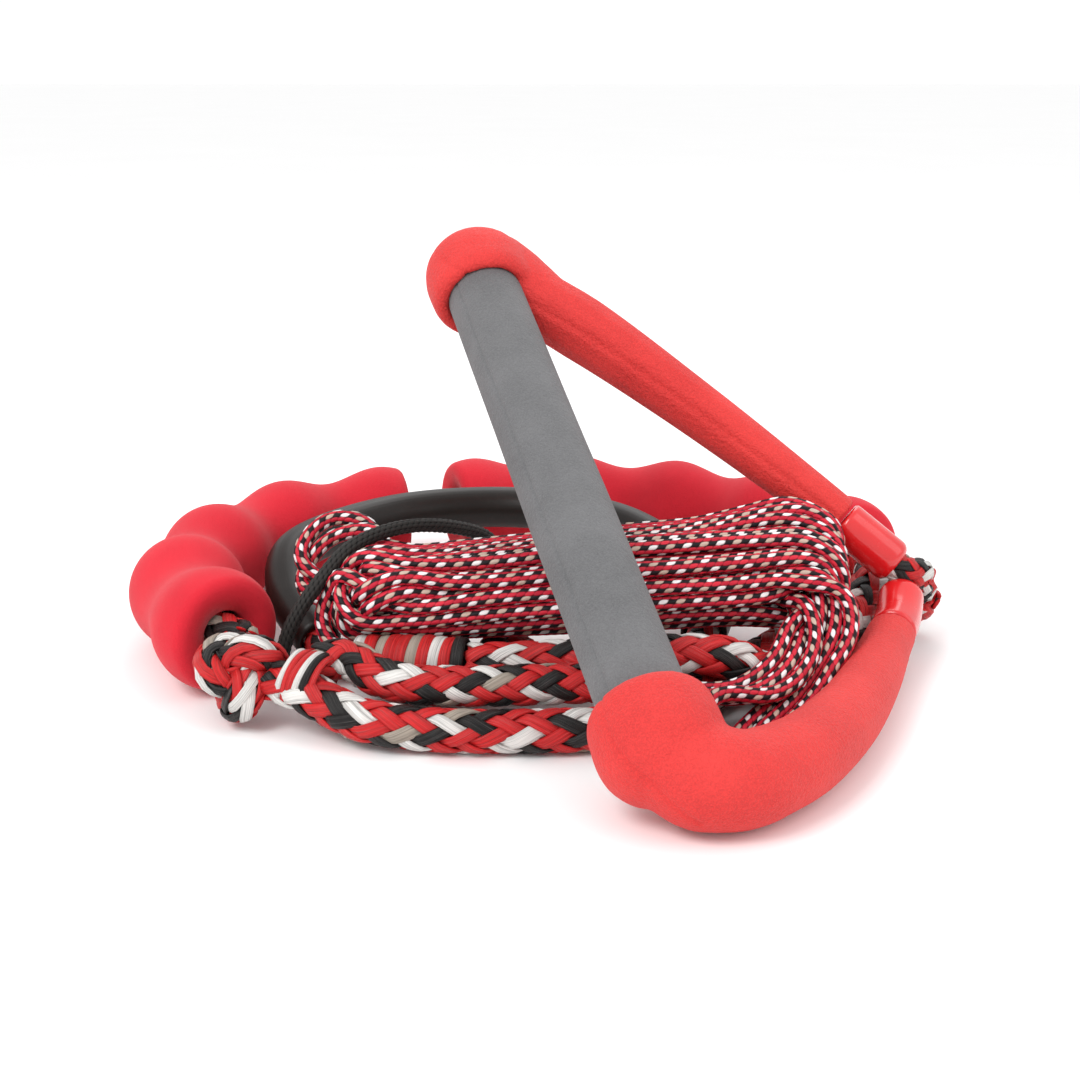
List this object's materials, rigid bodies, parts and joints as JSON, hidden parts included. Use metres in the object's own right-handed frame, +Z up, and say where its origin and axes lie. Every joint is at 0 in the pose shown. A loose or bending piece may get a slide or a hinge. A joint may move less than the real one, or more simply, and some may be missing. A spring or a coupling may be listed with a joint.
{
  "type": "tow rope handle",
  "caption": "Coiled water-sports tow rope with a foam-armed grip bar, wavy foam floats on a thick braided rope and a hank of thin main line.",
  "frame": {"origin": "on the floor, under the middle of the handle and floats taken together", "axes": "+Z up; +Y from the lower end of the grip towards the floats, the longest extent; +X towards the vertex where the two arms meet"},
  "size_m": [0.3036, 0.32, 0.1518],
  "materials": {
    "grip_foam_grey": "matte closed-cell foam",
    "arm_foam_red": "matte moulded foam skin",
    "float_foam_red": "velvety matte foam",
    "sleeve_gloss_red": "glossy",
    "core_alloy": "drawn tube",
    "bush_plastic": "moulded",
    "thick_braid": "hollow braid of red, white and black ribbon yarn",
    "line_braid": "tight diamond braid, red with black and white",
    "tie_braid_black": "braided",
    "hose_black": "satin hose"
  },
  "bodies": {
    "handle": {"grip_foam": "grip_foam_grey", "core_tube": "core_alloy", "core_bush_upper": "bush_plastic", "core_bush_lower": "bush_plastic", "arm_upper": "arm_foam_red", "arm_lower": "arm_foam_red", "arm_ferrule_upper": "sleeve_gloss_red", "arm_ferrule_lower": "sleeve_gloss_red", "bridle_rope": "thick_braid"},
    "float_left": {"float_left": "float_foam_red"},
    "float_right": {"float_right": "float_foam_red"},
    "rope": {"leader_rope": "thick_braid", "vertex_splice": "thick_braid", "stopper_knot": "thick_braid", "knot_whipping": "thick_braid", "ring_rope": "thick_braid", "splice_tail": "thick_braid", "splice_tail_cap": "tie_braid_black", "line_whipping": "thick_braid", "main_line_feed": "line_braid", "main_line_hank": "line_braid", "hank_low_turns": "line_braid", "hank_end_loops": "line_braid", "tie_cord": "tie_braid_black", "tie_cord_knot": "tie_braid_black", "boat_loop_hose": "hose_black", "boat_loop_rope": "thick_braid", "boat_loop_knot": "thick_braid"}
  },
  "joints": [
    {"name": "handle_lift", "type": "hinge", "parent": "rope", "child": "handle", "pos_m": [0.145, 0.0106, 0.027], "axis": [-0.3159, 0.9488, 0], "range_deg": [0, 75]},
    {"name": "float_left_slide", "type": "hinge", "parent": "rope", "child": "float_left", "pos_m": [-0.0312, 0.0259, 0.0217], "axis": [0, 0, 1], "range_deg": [-2.5, 0]},
    {"name": "float_right_slide", "type": "hinge", "parent": "rope", "child": "float_right", "pos_m": [0.0133, 0.0143, 0.0217], "axis": [0, 0, 1], "range_deg": [-4, 2]}
  ]
}
